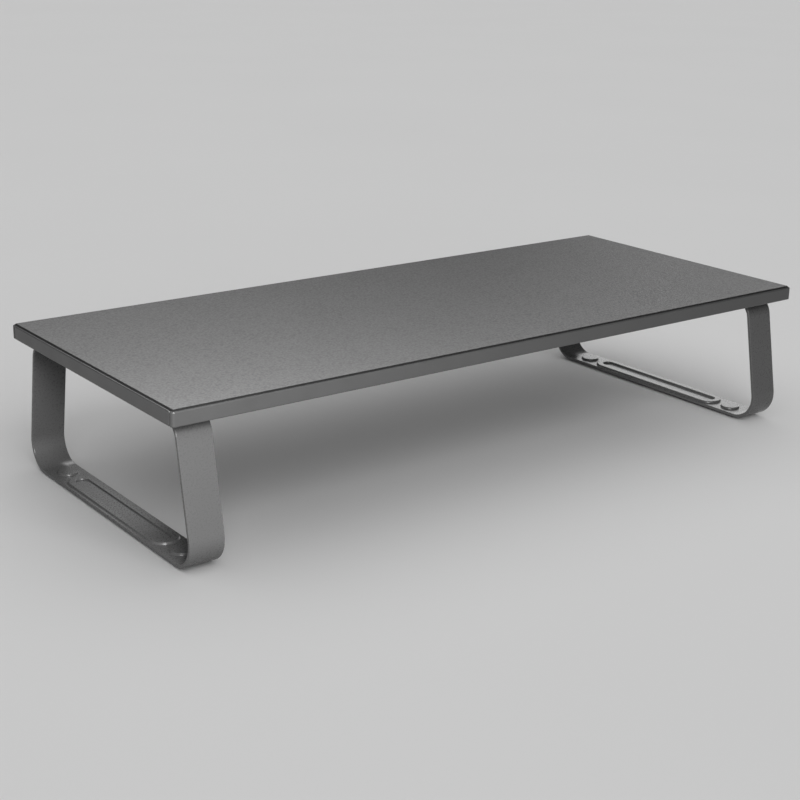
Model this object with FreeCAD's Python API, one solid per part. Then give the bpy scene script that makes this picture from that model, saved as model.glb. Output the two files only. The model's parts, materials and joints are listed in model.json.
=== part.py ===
import FreeCAD, Part
import math
import os

# Monitor riser stand: a flat board on two bent steel legs with rubber feet.
# Millimetres. +X runs along the board, +Y to the rear, +Z up.
# The origin is on the ground, under the middle of the stand.

# ---- overall ---------------------------------------------------------------
board_length = 560.0
board_depth = 235.0
foot_proud = 1.0              # rubber that stands below the leg
leg_height = 99.0             # underside of the leg's run to the top of its flanges

# ---- board -----------------------------------------------------------------
core_thickness = 9.0
top_sheet_thickness = 1.0
backing_thickness = 1.0
band_thickness = 3.0
band_round = 0.9              # outer long edges of the edge bands
corner_round = 2.4            # upright corners of the board, at the ends of the long bands
seam_gap = 0.8                # end of a side band to the front or rear band
side_seam_round = 1.2         # eased ends of the side bands at that seam
long_seam_round = 0.45        # eased ends of the long bands there
bevel_foot = 0.9              # board's outer face to the lower edge of the top sheet's bevel
bevel_head = 2.2              # board's outer face to the upper edge of that bevel
bevel_foot_corner = 1.5       # corner radii of the sheet's outline at those two edges
bevel_head_corner = 0.5

# ---- legs ------------------------------------------------------------------
strip_width = 25.0
strip_thickness = 2.5
leg_inset = 9.0               # end of the board to the outer edge of a leg
lean_degrees = 10.5           # uprights lean outward towards the ground
foot_reach = 122.0            # centre to the corner of run and upright, before bending
bottom_bend_radius = 20.0     # outer radii of the bends
top_bend_radius = 15.0
flange_length = 50.0          # flat part of a flange, from its bend to its tip
flange_corner = 6.0
strip_edge_round = 0.45

# ---- pressed seats in the run of a leg ----------------------------------------
seat_height = 1.5
seat_round = 0.7              # rolled upper edges and sweeping feet of the seats
long_seat_length = 141.0
long_seat_width = 20.5
rim_width = 5.4               # the long seat is a raised rim round a flat panel
round_seat_width = 15.0
round_seat_offset = 84.0      # centre of the leg to the centre of a round seat
wall_offset = 1.0             # outline of a seat to the outline of the pocket under it
foot_clearance = 0.2
foot_round = 0.5

# ---- fasteners ---------------------------------------------------------------
hole_offsets = (13.0, 37.0)   # from the end of the top bend, along the flange
screw_diameter = 5.0
screw_length = 10.0
screw_hole_diameter = 5.6
head_diameter = 9.5
head_height = 2.75
socket_across_flats = 3.0
socket_depth = 1.8
insert_body_diameter = 7.4
insert_barb_diameter = 8.4
insert_flange_diameter = 11.0
insert_length = 9.0
insert_bore = 5.1
barb_count = 3
insert_hole_clearance = 0.1
flange_hole_clearance = 0.4

# ---- derived levels ------------------------------------------------------------
run_bottom = foot_proud
run_top = run_bottom + strip_thickness
board_bottom = run_bottom + leg_height
core_bottom = board_bottom + backing_thickness
core_top = core_bottom + core_thickness
board_top = core_top + top_sheet_thickness
half_length = board_length / 2.0
half_depth = board_depth / 2.0
core_half_length = half_length - band_thickness
core_half_depth = half_depth - band_thickness
lean = math.radians(lean_degrees)
strip_axis_x = half_length - leg_inset - strip_width / 2.0
SIDES = {"left": -1.0, "right": 1.0}
ENDS = {"front": -1.0, "rear": 1.0}


def vec(x, y, z):
    return FreeCAD.Vector(x, y, z)


def block(x0, x1, y0, y1, z0, z1):
    return Part.makeBox(x1 - x0, y1 - y0, z1 - z0, vec(x0, y0, z0))


def upright_reach(z):
    """Distance from the centre to the outer face of an upright, at height z."""
    return foot_reach - (z - run_bottom) * math.tan(lean)


def top_bend_end():
    """Distance from the centre at which a top bend becomes the flat flange."""
    turn = math.pi / 2.0 - lean
    return upright_reach(board_bottom) - top_bend_radius * math.tan(turn / 2.0)


def bent_path(corners, radii):
    """Edges through the corners in the YZ plane, with a tangent arc at each inner corner."""
    edges = []
    start = corners[0]
    for before, corner, after, radius in zip(corners, corners[1:], corners[2:], radii):
        to_before = (before - corner).normalize()
        to_after = (after - corner).normalize()
        half_angle = to_before.getAngle(to_after) / 2.0
        tangent = radius / math.tan(half_angle)
        arc_start = corner + to_before * tangent
        arc_end = corner + to_after * tangent
        bisector = (to_before + to_after).normalize()
        arc_middle = corner + bisector * (radius / math.sin(half_angle) - radius)
        edges.append(Part.LineSegment(start, arc_start).toShape())
        edges.append(Part.Arc(arc_start, arc_middle, arc_end).toShape())
        start = arc_end
    edges.append(Part.LineSegment(start, corners[-1]).toShape())
    return edges


def strip_corners(depth):
    """Corners of the strip's outside face, moved inward by depth, from tip to tip."""
    flange_level = board_bottom - depth
    run_level = run_bottom + depth
    sideways = depth / math.cos(lean)
    tip = top_bend_end() - flange_length
    top = upright_reach(flange_level) - sideways
    bottom = upright_reach(run_level) - sideways
    half = [(-tip, flange_level), (-top, flange_level), (-bottom, run_level)]
    mirrored = [(-y, z) for y, z in reversed(half)]
    return [vec(0.0, y, z) for y, z in half + mirrored]


def edges_at_x(shape, x):
    return [e for e in shape.Edges if all(abs(v.X - x) < 1e-4 for v in e.Vertexes)]


def bent_strip():
    """The flat bar after bending, centred on X = 0, without seats or holes."""
    outside = bent_path(strip_corners(0.0),
                        (top_bend_radius, bottom_bend_radius, bottom_bend_radius, top_bend_radius))
    inner_top = top_bend_radius - strip_thickness
    inner_bottom = bottom_bend_radius - strip_thickness
    inside = bent_path(strip_corners(strip_thickness),
                       (inner_top, inner_bottom, inner_bottom, inner_top))
    outer_tips = (outside[0].Vertexes[0].Point, outside[-1].Vertexes[-1].Point)
    inner_tips = (inside[0].Vertexes[0].Point, inside[-1].Vertexes[-1].Point)
    tips = [Part.LineSegment(a, b).toShape() for a, b in zip(outer_tips, inner_tips)]
    profile = Part.Wire(Part.__sortEdges__(outside + inside + tips))
    strip = Part.Face(profile).extrude(vec(strip_width, 0.0, 0.0))
    strip.translate(vec(-strip_width / 2.0, 0.0, 0.0))
    tip = top_bend_end() - flange_length
    tip_corners = [e for e in strip.Edges
                   if len(e.Vertexes) == 2
                   and all(abs(abs(v.Y) - tip) < 1e-4 for v in e.Vertexes)
                   and abs(e.Vertexes[0].Z - e.Vertexes[1].Z) > 1.0]
    strip = strip.makeFillet(flange_corner, tip_corners)
    long_edges = edges_at_x(strip, -strip_width / 2.0) + edges_at_x(strip, strip_width / 2.0)
    return strip.makeFillet(strip_edge_round, long_edges)


def stadium(length, width, z0, z1, centre_y):
    """Upright prism with a stadium plan along Y; a plain disc if length equals width."""
    radius = width / 2.0
    reach = (length - width) / 2.0
    ends = [Part.makeCylinder(radius, z1 - z0, vec(0.0, centre_y + s * reach, z0)) for s in (-1.0, 1.0)]
    if reach <= 0.0:
        return ends[0]
    middle = block(-radius, radius, centre_y - reach, centre_y + reach, z0, z1)
    return ends[0].fuse(ends[1]).fuse(middle).removeSplitter()


def edges_at_z(shape, z):
    return [e for e in shape.Edges if all(abs(v.Z - z) < 1e-4 for v in e.Vertexes)]


def seat_plans(inset):
    """Length, width and place of the three seats of the run, with their outlines moved inward by inset."""
    shrink = 2.0 * inset
    plans = [(long_seat_length - shrink, long_seat_width - shrink, 0.0)]
    for sign in (-1.0, 1.0):
        plans.append((round_seat_width - shrink, round_seat_width - shrink, sign * round_seat_offset))
    return plans


def panel_prism(outset, z0, z1):
    """Prism over the flat panel in the long seat's rim, its outline moved outward by outset."""
    length, width, centre_y = seat_plans(rim_width - outset)[0]
    return stadium(length, width, z0, z1, centre_y)


def leg():
    """One leg, centred on X = 0: strip, raised seats, pockets under them, screw holes."""
    body = bent_strip()
    seat_top = run_top + seat_height
    for length, width, centre_y in seat_plans(0.0):
        seat = stadium(length, width, run_top - 0.5, seat_top, centre_y)
        body = body.fuse(seat.makeFillet(seat_round, edges_at_z(seat, seat_top)))
    body = body.removeSplitter()
    half_seat = long_seat_width / 2.0
    seat_feet = [e for e in edges_at_z(body, run_top)
                 if all(abs(v.X) < half_seat + 0.01 for v in e.Vertexes)]
    body = body.makeFillet(seat_round, seat_feet)
    hollow = panel_prism(0.0, run_top, seat_top + 1.0)
    body = body.cut(hollow.makeFillet(seat_round, edges_at_z(hollow, run_top)))
    half_panel = half_seat - rim_width
    panel_rim = [e for e in edges_at_z(body, seat_top)
                 if all(abs(v.X) < half_panel + 0.01 for v in e.Vertexes)]
    body = body.makeFillet(seat_round, panel_rim)
    for pocket in seat_pockets():
        body = body.cut(pocket)
    for x, y in flange_hole_places():
        hole = Part.makeCylinder(screw_hole_diameter / 2.0, strip_thickness + 2.0,
                                 vec(x, y, board_bottom - strip_thickness - 1.0))
        body = body.cut(hole)
    return body


def seat_pockets():
    """Cutters for the hollows under the seats: a ring-shaped groove and two round pockets."""
    low = run_bottom - 1.0
    high = run_bottom + seat_height
    long_pocket, front_pocket, rear_pocket = [stadium(length, width, low, high, centre_y)
                                              for length, width, centre_y in seat_plans(wall_offset)]
    return [long_pocket.cut(panel_prism(wall_offset, low, high)), front_pocket, rear_pocket]


def flange_hole_places():
    """Both flanges' screw places on a leg centred on X = 0."""
    return [(0.0, y) for end in ENDS.values() for y in flange_screw_rows(end)]


def flange_screw_rows(end):
    return [end * (top_bend_end() - offset) for offset in hole_offsets]


def feet():
    """Rubber feet that fill the pockets and stand proud of the run: long, front and rear."""
    pads = []
    for length, width, centre_y in seat_plans(wall_offset + foot_clearance):
        pad = stadium(length, width, 0.0, run_bottom + seat_height, centre_y)
        pads.append(pad.makeFillet(foot_round, edges_at_z(pad, 0.0)))
    opening = panel_prism(wall_offset + foot_clearance, run_bottom, run_bottom + seat_height + 1.0)
    pads[0] = pads[0].cut(opening)
    return pads


def screw(x, y):
    """Button-head socket screw, head down, seated on the underside of a flange."""
    seat = board_bottom - strip_thickness
    head_radius = head_diameter / 2.0
    top_radius = head_radius * 0.52
    rim = vec(head_radius, 0.0, seat)
    rim_low = vec(head_radius, 0.0, seat - 0.35)
    dome_middle = vec(head_radius * 0.86, 0.0, seat - head_height * 0.66)
    dome_end = vec(top_radius, 0.0, seat - head_height)
    centre_low = vec(0.0, 0.0, seat - head_height)
    tip_level = seat + screw_length
    shank = screw_diameter / 2.0
    points_up = [centre_low, vec(0.0, 0.0, tip_level), vec(shank - 0.6, 0.0, tip_level),
                 vec(shank, 0.0, tip_level - 0.6), vec(shank, 0.0, seat), rim, rim_low]
    edges = [Part.LineSegment(a, b).toShape() for a, b in zip(points_up, points_up[1:])]
    edges.append(Part.Arc(rim_low, dome_middle, dome_end).toShape())
    edges.append(Part.LineSegment(dome_end, centre_low).toShape())
    turned = Part.Face(Part.Wire(edges)).revolve(vec(0, 0, 0), vec(0, 0, 1), 360)
    socket_radius = socket_across_flats / math.sqrt(3.0)
    corners = [vec(socket_radius * math.cos(math.radians(60.0 * k)),
                   socket_radius * math.sin(math.radians(60.0 * k)), seat - head_height - 1.0)
               for k in range(7)]
    socket = Part.Face(Part.makePolygon(corners)).extrude(vec(0.0, 0.0, socket_depth + 1.0))
    shape = turned.cut(socket)
    shape.translate(vec(x, y, 0.0))
    return shape


def threaded_insert(x, y):
    """Drive-in insert with a thin flange flush with the board's underside and barbs above it."""
    flange = Part.makeCylinder(insert_flange_diameter / 2.0, backing_thickness, vec(0, 0, board_bottom))
    body = Part.makeCylinder(insert_body_diameter / 2.0, insert_length, vec(0, 0, board_bottom))
    shape = flange.fuse(body)
    barb_pitch = (insert_length - backing_thickness - 1.0) / barb_count
    for k in range(barb_count):
        barb = Part.makeCone(insert_barb_diameter / 2.0, insert_body_diameter / 2.0 - 0.1, barb_pitch * 0.8,
                             vec(0, 0, core_bottom + 0.5 + k * barb_pitch))
        shape = shape.fuse(barb)
    bore = Part.makeCylinder(insert_bore / 2.0, insert_length + 2.0, vec(0, 0, board_bottom - 1.0))
    shape = shape.cut(bore)
    shape.translate(vec(x, y, 0.0))
    return shape


def insert_places():
    places = []
    for side in SIDES.values():
        places += [(side * strip_axis_x, y) for _, y in flange_hole_places()]
    return places


def board_core():
    """Fibreboard panel, with blind holes from below for the inserts."""
    shape = block(-core_half_length, core_half_length, -core_half_depth, core_half_depth,
                  core_bottom, core_top)
    hole_radius = (insert_barb_diameter + insert_hole_clearance) / 2.0
    hole_start = core_bottom - 1.0
    hole_end = board_bottom + insert_length + insert_hole_clearance
    for x, y in insert_places():
        shape = shape.cut(Part.makeCylinder(hole_radius, hole_end - hole_start, vec(x, y, hole_start)))
    return shape


def backing_sheet():
    shape = block(-core_half_length, core_half_length, -core_half_depth, core_half_depth,
                  board_bottom, core_bottom)
    hole_radius = (insert_flange_diameter + flange_hole_clearance) / 2.0
    for x, y in insert_places():
        hole = Part.makeCylinder(hole_radius, backing_thickness + 2.0, vec(x, y, board_bottom - 1.0))
        shape = shape.cut(hole)
    return shape


def rounded_rectangle(half_x, half_y, corner, z):
    """Closed outline round the Z axis, at height z."""
    arcs = []
    for quarter, (sign_x, sign_y) in enumerate(((1, 1), (-1, 1), (-1, -1), (1, -1))):
        centre = vec(sign_x * (half_x - corner), sign_y * (half_y - corner), z)
        start = 90.0 * quarter
        arcs.append(Part.makeCircle(corner, centre, vec(0, 0, 1), start, start + 90.0))
    sides = [Part.LineSegment(arc.Vertexes[-1].Point, following.Vertexes[0].Point).toShape()
             for arc, following in zip(arcs, arcs[1:] + arcs[:1])]
    return Part.Wire(Part.__sortEdges__(arcs + sides))


def top_sheet():
    """Laminate that covers the core and the flat tops of the bands, bevelled all round."""
    foot = rounded_rectangle(half_length - bevel_foot, half_depth - bevel_foot, bevel_foot_corner, core_top)
    head = rounded_rectangle(half_length - bevel_head, half_depth - bevel_head, bevel_head_corner, board_top)
    return Part.makeLoft([foot, head], True, True)


def long_band(end):
    """Front or rear edge band, over the whole length, with rounded corners at its ends."""
    outer = end * half_depth
    inner = end * core_half_depth
    shape = block(-half_length, half_length, min(outer, inner), max(outer, inner), board_bottom, core_top)
    corners = [e for e in shape.Edges
               if all(abs(v.Y - outer) < 1e-4 for v in e.Vertexes) and e.Length < 2.0 * core_thickness]
    shape = shape.makeFillet(corner_round, corners)
    rims = [e for z in (board_bottom, core_top) for e in edges_at_z(shape, z)
            if any(abs(v.Y - inner) > 1e-4 for v in e.Vertexes)]
    shape = shape.makeFillet(band_round, rims)
    seam_edges = [e for x in (-half_length, half_length) for e in edges_at_x(shape, x)
                  if all(abs(v.Y - inner) < 1e-4 for v in e.Vertexes)]
    return shape.makeFillet(long_seam_round, seam_edges)


def side_band(side):
    """Left or right edge band, between the front and rear bands."""
    outer = side * half_length
    inner = side * core_half_length
    reach = core_half_depth - seam_gap
    shape = block(min(outer, inner), max(outer, inner), -reach, reach, board_bottom, core_top)
    long_edges = [e for e in edges_at_x(shape, outer) if e.Length > reach]
    shape = shape.makeFillet(band_round, long_edges)
    seam_edges = [e for e in edges_at_x(shape, outer) if e.Length < reach]
    return shape.makeFillet(side_seam_round, seam_edges)


def moved(shape, x):
    copy = shape.copy()
    copy.translate(vec(x, 0.0, 0.0))
    return copy


def all_parts():
    parts = {
        "board_core": board_core(),
        "top_sheet": top_sheet(),
        "backing_sheet": backing_sheet(),
    }
    for name, end in ENDS.items():
        parts["edge_band_" + name] = long_band(end)
    one_leg = leg()
    long_foot, front_dot, rear_dot = feet()
    for side_name, side in SIDES.items():
        x = side * strip_axis_x
        parts["edge_band_" + side_name] = side_band(side)
        parts["leg_" + side_name] = moved(one_leg, x)
        parts["foot_strip_" + side_name] = moved(long_foot, x)
        parts["foot_dot_" + side_name + "_front"] = moved(front_dot, x)
        parts["foot_dot_" + side_name + "_rear"] = moved(rear_dot, x)
        for end_name, end in ENDS.items():
            place = side_name + "_" + end_name
            rows = flange_screw_rows(end)
            parts["screws_" + place] = Part.makeCompound([screw(x, y) for y in rows])
            parts["inserts_" + place] = Part.makeCompound([threaded_insert(x, y) for y in rows])
    return parts


def main():
    os.makedirs("parts", exist_ok=True)
    for name, shape in all_parts().items():
        solids = shape.Solids
        box = shape.BoundBox
        print("%-24s solids %d valid %s volume %.1f  x %.2f..%.2f  y %.2f..%.2f  z %.2f..%.2f" % (
            name, len(solids), shape.isValid(), shape.Volume,
            box.XMin, box.XMax, box.YMin, box.YMax, box.ZMin, box.ZMax))
        shape.exportStep("parts/" + name + ".step")


main()
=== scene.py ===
import json
import math

import bmesh
import bpy
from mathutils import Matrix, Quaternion, Vector


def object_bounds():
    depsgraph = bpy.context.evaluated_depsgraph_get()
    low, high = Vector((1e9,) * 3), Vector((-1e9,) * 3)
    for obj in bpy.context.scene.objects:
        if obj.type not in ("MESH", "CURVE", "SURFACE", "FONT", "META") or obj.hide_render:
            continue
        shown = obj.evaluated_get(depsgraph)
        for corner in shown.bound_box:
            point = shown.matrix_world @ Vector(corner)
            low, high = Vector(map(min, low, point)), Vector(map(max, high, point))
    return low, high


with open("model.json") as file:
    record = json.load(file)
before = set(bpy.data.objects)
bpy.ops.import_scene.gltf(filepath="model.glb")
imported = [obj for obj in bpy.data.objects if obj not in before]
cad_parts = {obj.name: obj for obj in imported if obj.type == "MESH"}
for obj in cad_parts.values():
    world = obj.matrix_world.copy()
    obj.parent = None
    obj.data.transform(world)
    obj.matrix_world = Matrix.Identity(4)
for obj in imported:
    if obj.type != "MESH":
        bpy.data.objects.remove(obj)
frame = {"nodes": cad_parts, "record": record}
cad_low, cad_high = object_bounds()

MM = 0.001

# Camera: where it stands (metres), and its heading from +Y to +X, tilt down and roll (degrees).
CAMERA_PLACE = (-0.677, -0.869, 0.397)
CAMERA_HEADING = 36.97
CAMERA_TILT = 18.25
CAMERA_ROLL = 0.93
CAMERA_LENS = 67.6
SENSOR_WIDTH = 36.0

# Studio: half the floor's width and the radius of the wall round it (metres), and how brightly they glow.
FLOOR_HALF = 8.0
WALL_RADIUS = 7.8
WALL_GLOW = 0.56
ROOM_GLOW = 0.10
STUDIO_WHITE = (1.0, 1.0, 1.0, 1.0)


class Look:
    """A node material under construction: every texture is in metres, in the part's own frame."""

    def __init__(self, name, roughness, metallic=0.0, specular=0.5):
        self.material = bpy.data.materials.new(name)
        self.material.use_nodes = True
        self.tree = self.material.node_tree
        self.tree.nodes.clear()
        output = self.node("ShaderNodeOutputMaterial")
        self.shader = self.node("ShaderNodeBsdfPrincipled")
        self.shader.inputs["Roughness"].default_value = roughness
        self.shader.inputs["Metallic"].default_value = metallic
        self.shader.inputs["Specular IOR Level"].default_value = specular
        self.link(self.shader.outputs["BSDF"], output.inputs["Surface"])
        self.place = self.node("ShaderNodeTexCoord").outputs["Object"]
        self.normal = None

    def node(self, kind, **settings):
        made = self.tree.nodes.new(kind)
        for key, value in settings.items():
            setattr(made, key, value)
        return made

    def link(self, source, target):
        self.tree.links.new(source, target)

    def stretched(self, factors):
        """The part's coordinates multiplied by factors along X, Y and Z."""
        scaled = self.node("ShaderNodeVectorMath", operation="MULTIPLY")
        self.link(self.place, scaled.inputs[0])
        scaled.inputs[1].default_value = factors
        return scaled.outputs["Vector"]

    def noise(self, size, detail=2.0, rough=0.5, stretch=None):
        """Noise whose features are about size metres across."""
        made = self.node("ShaderNodeTexNoise")
        made.inputs["Scale"].default_value = 1.0 / size
        made.inputs["Detail"].default_value = detail
        made.inputs["Roughness"].default_value = rough
        self.link(self.stretched(stretch) if stretch else self.place, made.inputs["Vector"])
        return made.outputs["Fac"]

    def cells(self, size):
        """Rounded pebbles about size metres apart: 0 at a pebble's centre."""
        made = self.node("ShaderNodeTexVoronoi", feature="SMOOTH_F1")
        made.inputs["Scale"].default_value = 1.0 / size
        made.inputs["Smoothness"].default_value = 0.6
        self.link(self.place, made.inputs["Vector"])
        return made.outputs["Distance"]

    def between(self, value, low, high, to_low, to_high):
        """value moved from the range low..high to the range to_low..to_high, clamped."""
        made = self.node("ShaderNodeMapRange")
        for name, number in (("From Min", low), ("From Max", high), ("To Min", to_low), ("To Max", to_high)):
            made.inputs[name].default_value = number
        self.link(value, made.inputs["Value"])
        return made.outputs["Result"]

    def combine(self, operation, first, second):
        made = self.node("ShaderNodeMath", operation=operation)
        for socket, value in zip(made.inputs, (first, second)):
            if isinstance(value, (int, float)):
                socket.default_value = value
            else:
                self.link(value, socket)
        return made.outputs["Value"]

    def blend(self, share, first, second):
        """Colour between first and second; each is a colour or a socket."""
        made = self.node("ShaderNodeMix", data_type="RGBA")
        self.link(share, made.inputs["Factor"])
        for socket, value in zip((made.inputs[6], made.inputs[7]), (first, second)):
            if isinstance(value, tuple):
                socket.default_value = (*value, 1.0)
            else:
                self.link(value, socket)
        return made.outputs[2]

    def raise_surface(self, height, depth):
        """Adds relief: height 0..1 stands depth metres high."""
        made = self.node("ShaderNodeBump")
        made.inputs["Distance"].default_value = depth
        self.link(height, made.inputs["Height"])
        if self.normal is not None:
            self.link(self.normal, made.inputs["Normal"])
        self.normal = made.outputs["Normal"]

    def sloping(self):
        """1 where the surface isn't level, 0 on a level face."""
        true_normal = self.node("ShaderNodeNewGeometry").outputs["True Normal"]
        apart = self.node("ShaderNodeSeparateXYZ")
        self.link(true_normal, apart.inputs["Vector"])
        return self.between(apart.outputs["Z"], 0.99, 0.95, 0.0, 1.0)

    def worn_edges(self, radius):
        """1 on sharp outer edges within about radius, 0 elsewhere, broken up by noise."""
        rounded = self.node("ShaderNodeBevel", samples=4)
        rounded.inputs["Radius"].default_value = radius
        smooth_normal = self.node("ShaderNodeNewGeometry").outputs["Normal"]
        likeness = self.node("ShaderNodeVectorMath", operation="DOT_PRODUCT")
        self.link(rounded.outputs["Normal"], likeness.inputs[0])
        self.link(smooth_normal, likeness.inputs[1])
        edge = self.between(likeness.outputs["Value"], 0.985, 0.86, 0.0, 1.0)
        return self.combine("MULTIPLY", edge, self.between(self.noise(4.0 * MM, 4.0), 0.42, 0.62, 0.0, 1.0))

    def colour(self, source):
        self.link(source, self.shader.inputs["Base Color"])

    def roughness(self, source):
        self.link(source, self.shader.inputs["Roughness"])

    def done(self):
        if self.normal is not None:
            self.link(self.normal, self.shader.inputs["Normal"])
        return self.material


def grey(value):
    return (value, value, value)


def pebbled_laminate():
    """Graphite laminate: fine pebble grain with faint mottling, and a black core at the bevel."""
    look = Look("pebbled_laminate", roughness=0.55, specular=0.20)
    pebbles = look.cells(1.5 * MM)
    fine = look.noise(0.7 * MM, 3.0)
    mottle = look.between(look.noise(35.0 * MM, 4.0), 0.3, 0.7, 0.0, 1.0)
    grain = look.between(look.combine("ADD", pebbles, fine), 0.6, 1.3, 1.0, 0.0)
    face = look.blend(grain, look.blend(mottle, grey(0.092), grey(0.102)), grey(0.132))
    core = look.blend(look.noise(3.0 * MM, 3.0), grey(0.006), grey(0.012))
    look.colour(look.blend(look.sloping(), face, core))
    look.roughness(look.between(grain, 0.0, 1.0, 0.62, 0.50))
    look.raise_surface(grain, 0.10 * MM)
    return look.done()


def band_plastic():
    """Satin edge band with the faint long lines of its extrusion and lightly rubbed edges."""
    look = Look("band_plastic", roughness=0.38)
    lines = look.noise(0.35 * MM, 2.0, stretch=(0.02, 0.02, 1.0))
    cloud = look.noise(20.0 * MM, 3.0)
    body = look.blend(cloud, grey(0.034), grey(0.041))
    look.colour(look.blend(look.worn_edges(0.5 * MM), body, grey(0.11)))
    look.roughness(look.between(cloud, 0.3, 0.7, 0.34, 0.42))
    look.raise_surface(lines, 0.012 * MM)
    return look.done()


def powder_coat():
    """Satin graphite powder coat: faint orange peel and speckle, thin rubbed edges."""
    look = Look("powder_coat", roughness=0.28, specular=0.45)
    peel = look.noise(1.2 * MM, 2.0)
    speckle = look.noise(0.35 * MM, 1.0)
    cloud = look.noise(30.0 * MM, 3.0)
    body = look.blend(cloud, grey(0.051), grey(0.056))
    body = look.blend(look.between(speckle, 0.45, 0.75, 0.0, 0.10), body, grey(0.08))
    look.colour(look.blend(look.worn_edges(0.35 * MM), body, grey(0.12)))
    look.roughness(look.between(peel, 0.3, 0.7, 0.265, 0.295))
    look.raise_surface(peel, 0.004 * MM)
    return look.done()


def moulded_rubber():
    """Matt black rubber with a fine moulded texture and a little dust."""
    look = Look("moulded_rubber", roughness=0.8, specular=0.3)
    dust = look.between(look.noise(6.0 * MM, 5.0), 0.45, 0.75, 0.0, 0.5)
    look.colour(look.blend(dust, grey(0.022), grey(0.060)))
    look.roughness(look.between(dust, 0.0, 0.5, 0.72, 0.9))
    look.raise_surface(look.noise(0.4 * MM, 3.0), 0.04 * MM)
    return look.done()


def black_zinc():
    """Black zinc plated steel, with bright rubbed edges round the socket."""
    look = Look("black_zinc", roughness=0.35, metallic=1.0)
    cloud = look.noise(1.5 * MM, 3.0)
    body = look.blend(cloud, grey(0.070), grey(0.120))
    look.colour(look.blend(look.worn_edges(0.2 * MM), body, grey(0.45)))
    look.roughness(look.between(cloud, 0.3, 0.7, 0.28, 0.42))
    look.raise_surface(look.noise(0.2 * MM, 2.0), 0.006 * MM)
    return look.done()


def yellow_zinc():
    """Zinc plated brass-yellow inserts."""
    look = Look("yellow_zinc", roughness=0.32, metallic=1.0)
    cloud = look.noise(2.0 * MM, 3.0)
    look.colour(look.blend(cloud, (0.56, 0.50, 0.36), (0.70, 0.66, 0.52)))
    look.roughness(look.between(cloud, 0.3, 0.7, 0.26, 0.40))
    look.raise_surface(look.noise(0.3 * MM, 2.0), 0.005 * MM)
    return look.done()


def fibreboard():
    """Raw fibreboard: matted fibres, lying mostly flat."""
    look = Look("fibreboard", roughness=0.85, specular=0.2)
    fibres = look.noise(0.6 * MM, 5.0, 0.65, stretch=(0.4, 0.4, 1.6))
    cloud = look.noise(8.0 * MM, 3.0)
    body = look.blend(cloud, (0.150, 0.105, 0.070), (0.200, 0.145, 0.095))
    look.colour(look.blend(look.between(fibres, 0.4, 0.7, 0.0, 1.0), body, (0.27, 0.20, 0.135)))
    look.raise_surface(fibres, 0.06 * MM)
    return look.done()


def balance_laminate():
    """Matt charcoal laminate on the underside, with a faint paper texture."""
    look = Look("balance_laminate", roughness=0.6)
    paper = look.noise(0.7 * MM, 4.0, 0.6)
    cloud = look.noise(40.0 * MM, 3.0)
    look.colour(look.blend(cloud, grey(0.045), grey(0.058)))
    look.roughness(look.between(paper, 0.3, 0.7, 0.52, 0.66))
    look.raise_surface(paper, 0.02 * MM)
    return look.done()


def dress_nodes():
    """Gives every CAD node the material of its slot in the record."""
    looks = {
        "top_laminate": pebbled_laminate(),
        "edge_band": band_plastic(),
        "leg_coat": powder_coat(),
        "foot_rubber": moulded_rubber(),
        "screw_steel": black_zinc(),
        "insert_steel": yellow_zinc(),
        "mdf": fibreboard(),
        "backing_laminate": balance_laminate(),
    }
    for entry in frame["record"]["subparts"]:
        piece = frame["nodes"][entry["node"]]
        piece.data.materials.clear()
        piece.data.materials.append(looks[entry["material_slot"]])


def studio_piece(name, shape, look):
    """An object of the studio, made from a bmesh, with its origin at the level of the feet."""
    mesh = bpy.data.meshes.new(name)
    shape.to_mesh(mesh)
    shape.free()
    mesh.materials.append(look.done())
    made = bpy.data.objects.new(name, mesh)
    made.location.z = cad_low.z
    bpy.context.collection.objects.link(made)
    return made


def studio_floor():
    """Pale plain floor."""
    shape = bmesh.new()
    bmesh.ops.create_grid(shape, x_segments=8, y_segments=8, size=FLOOR_HALF)
    look = Look("studio_paper", roughness=0.7, specular=0.2)
    look.colour(look.blend(look.noise(0.4, 2.0), grey(0.74), grey(0.76)))
    floor = studio_piece("studio_floor", shape, look)
    return floor


def studio_backdrop():
    """Pale round wall, which only the camera sees: it neither lights nor shades anything."""
    shape = bmesh.new()
    bmesh.ops.create_uvsphere(shape, u_segments=64, v_segments=32, radius=WALL_RADIUS)
    look = Look("studio_wall", roughness=1.0, specular=0.0)
    look.colour(look.blend(look.noise(2.0, 2.0), grey(0.0), grey(0.001)))
    look.shader.inputs["Emission Color"].default_value = STUDIO_WHITE
    look.shader.inputs["Emission Strength"].default_value = WALL_GLOW
    look.material.cycles.emission_sampling = "NONE"
    wall = studio_piece("studio_backdrop", shape, look)
    wall.visible_diffuse = False
    wall.visible_glossy = False
    wall.visible_shadow = False


def aim(thing, target):
    """Turns a lamp towards a point."""
    direction = Vector(target) - thing.location
    thing.rotation_mode = "QUATERNION"
    thing.rotation_quaternion = direction.to_track_quat("-Z", "Y")


def hang(name, light, place, target):
    """Puts a light at a place and turns it towards a point."""
    lamp = bpy.data.objects.new(name, light)
    lamp.location = place
    bpy.context.collection.objects.link(lamp)
    aim(lamp, target)
    return lamp


def softbox(name, place, target, width, height, power):
    """A rectangular lamp that the camera doesn't see, in watts."""
    light = bpy.data.lights.new(name, "AREA")
    light.shape = "RECTANGLE"
    light.size = width
    light.size_y = height
    light.energy = power
    lamp = hang(name, light, place, target)
    lamp.visible_camera = False
    return lamp


def daylight(name, place, spread, strength):
    """Even light from far away, from the side where place is; spread is its width in degrees."""
    light = bpy.data.lights.new(name, "SUN")
    light.angle = math.radians(spread)
    light.energy = strength
    return hang(name, light, place, (0.0, 0.0, 0.0))


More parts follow.
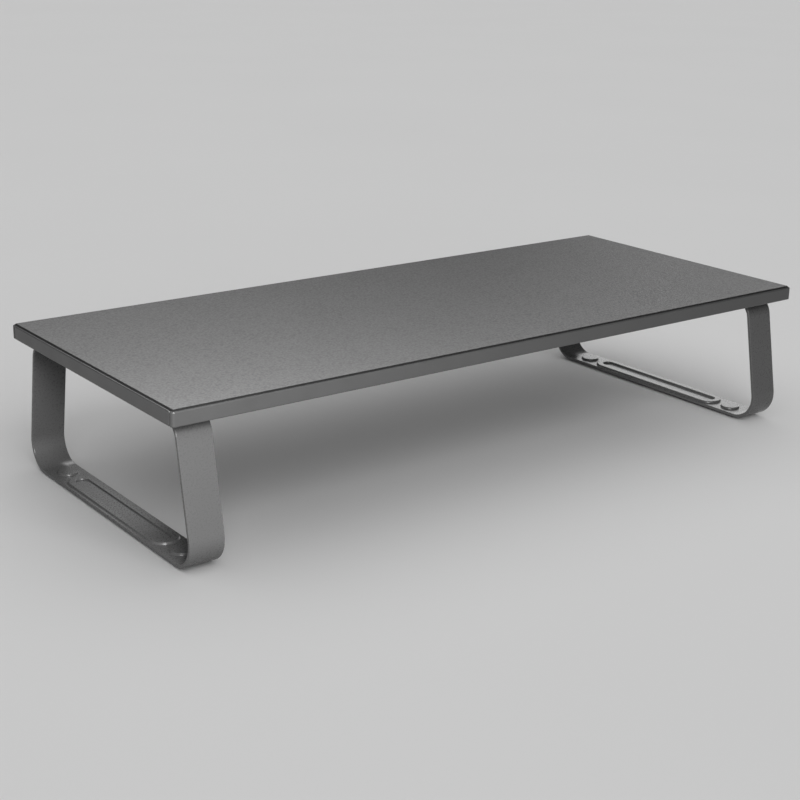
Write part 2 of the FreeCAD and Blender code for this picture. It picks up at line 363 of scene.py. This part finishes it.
def link_to_floor(lamp, floor, state):
    """INCLUDE: the lamp lights nothing but the floor. EXCLUDE: it lights all but the floor."""
    receivers = bpy.data.collections.new(lamp.name + "_receivers")
    receivers.objects.link(floor)
    receivers.collection_objects[0].light_linking.link_state = state
    lamp.light_linking.receiver_collection = receivers


def studio_light(floor):
    """Soft light from the front left, pale panels behind that show in the satin surfaces,
    and an even wash over the floor alone."""
    middle = (0.0, 0.0, 0.1)
    lamps = [
        softbox("low_key_softbox", (-0.42, -0.62, 0.38), (-0.26, -0.12, 0.07), 0.3, 0.3, 11.0),
        softbox("corner_softbox", (-0.38, -0.38, 0.33), (-0.27, -0.11, 0.11), 0.2, 0.2, 1.6),
        softbox("front_softbox", (0.0, -1.4, 0.8), middle, 1.0, 0.7, 2.0),
        softbox("high_rear_softbox", (0.4, 1.5, 1.3), middle, 1.2, 0.8, 10.0),
        softbox("side_panel", (1.9, 0.8, 0.50), middle, 1.6, 0.8, 9.5),
    ]
    for lamp in lamps:
        link_to_floor(lamp, floor, "EXCLUDE")
    washes = [
        daylight("floor_wash", (0.0, 0.0, 1.0), 110.0, 1.30),
        daylight("front_floor_wash", (-0.15, -1.0, 0.45), 60.0, 2.00),
    ]
    for lamp in washes:
        link_to_floor(lamp, floor, "INCLUDE")
    world = bpy.data.worlds.new("studio_room")
    world.use_nodes = True
    sky = world.node_tree.nodes["Background"]
    sky.inputs["Color"].default_value = STUDIO_WHITE
    sky.inputs["Strength"].default_value = ROOM_GLOW
    bpy.context.scene.world = world


def studio_camera():
    """A camera at the place and heading given at the top, with no shift and no depth of field."""
    camera = bpy.data.objects.new("camera", bpy.data.cameras.new("camera"))
    camera.data.lens = CAMERA_LENS
    camera.data.sensor_width = SENSOR_WIDTH
    camera.location = CAMERA_PLACE
    heading = math.radians(CAMERA_HEADING)
    tilt = math.radians(CAMERA_TILT)
    level = math.cos(tilt)
    forward = Vector((math.sin(heading) * level, math.cos(heading) * level, -math.sin(tilt)))
    roll = Quaternion((0.0, 0.0, 1.0), math.radians(CAMERA_ROLL))
    camera.rotation_mode = "QUATERNION"
    camera.rotation_quaternion = forward.to_track_quat("-Z", "Y") @ roll
    bpy.context.collection.objects.link(camera)
    bpy.context.scene.camera = camera


dress_nodes()
studio_light(studio_floor())
studio_backdrop()
studio_camera()
bpy.context.scene.view_settings.view_transform = "Standard"
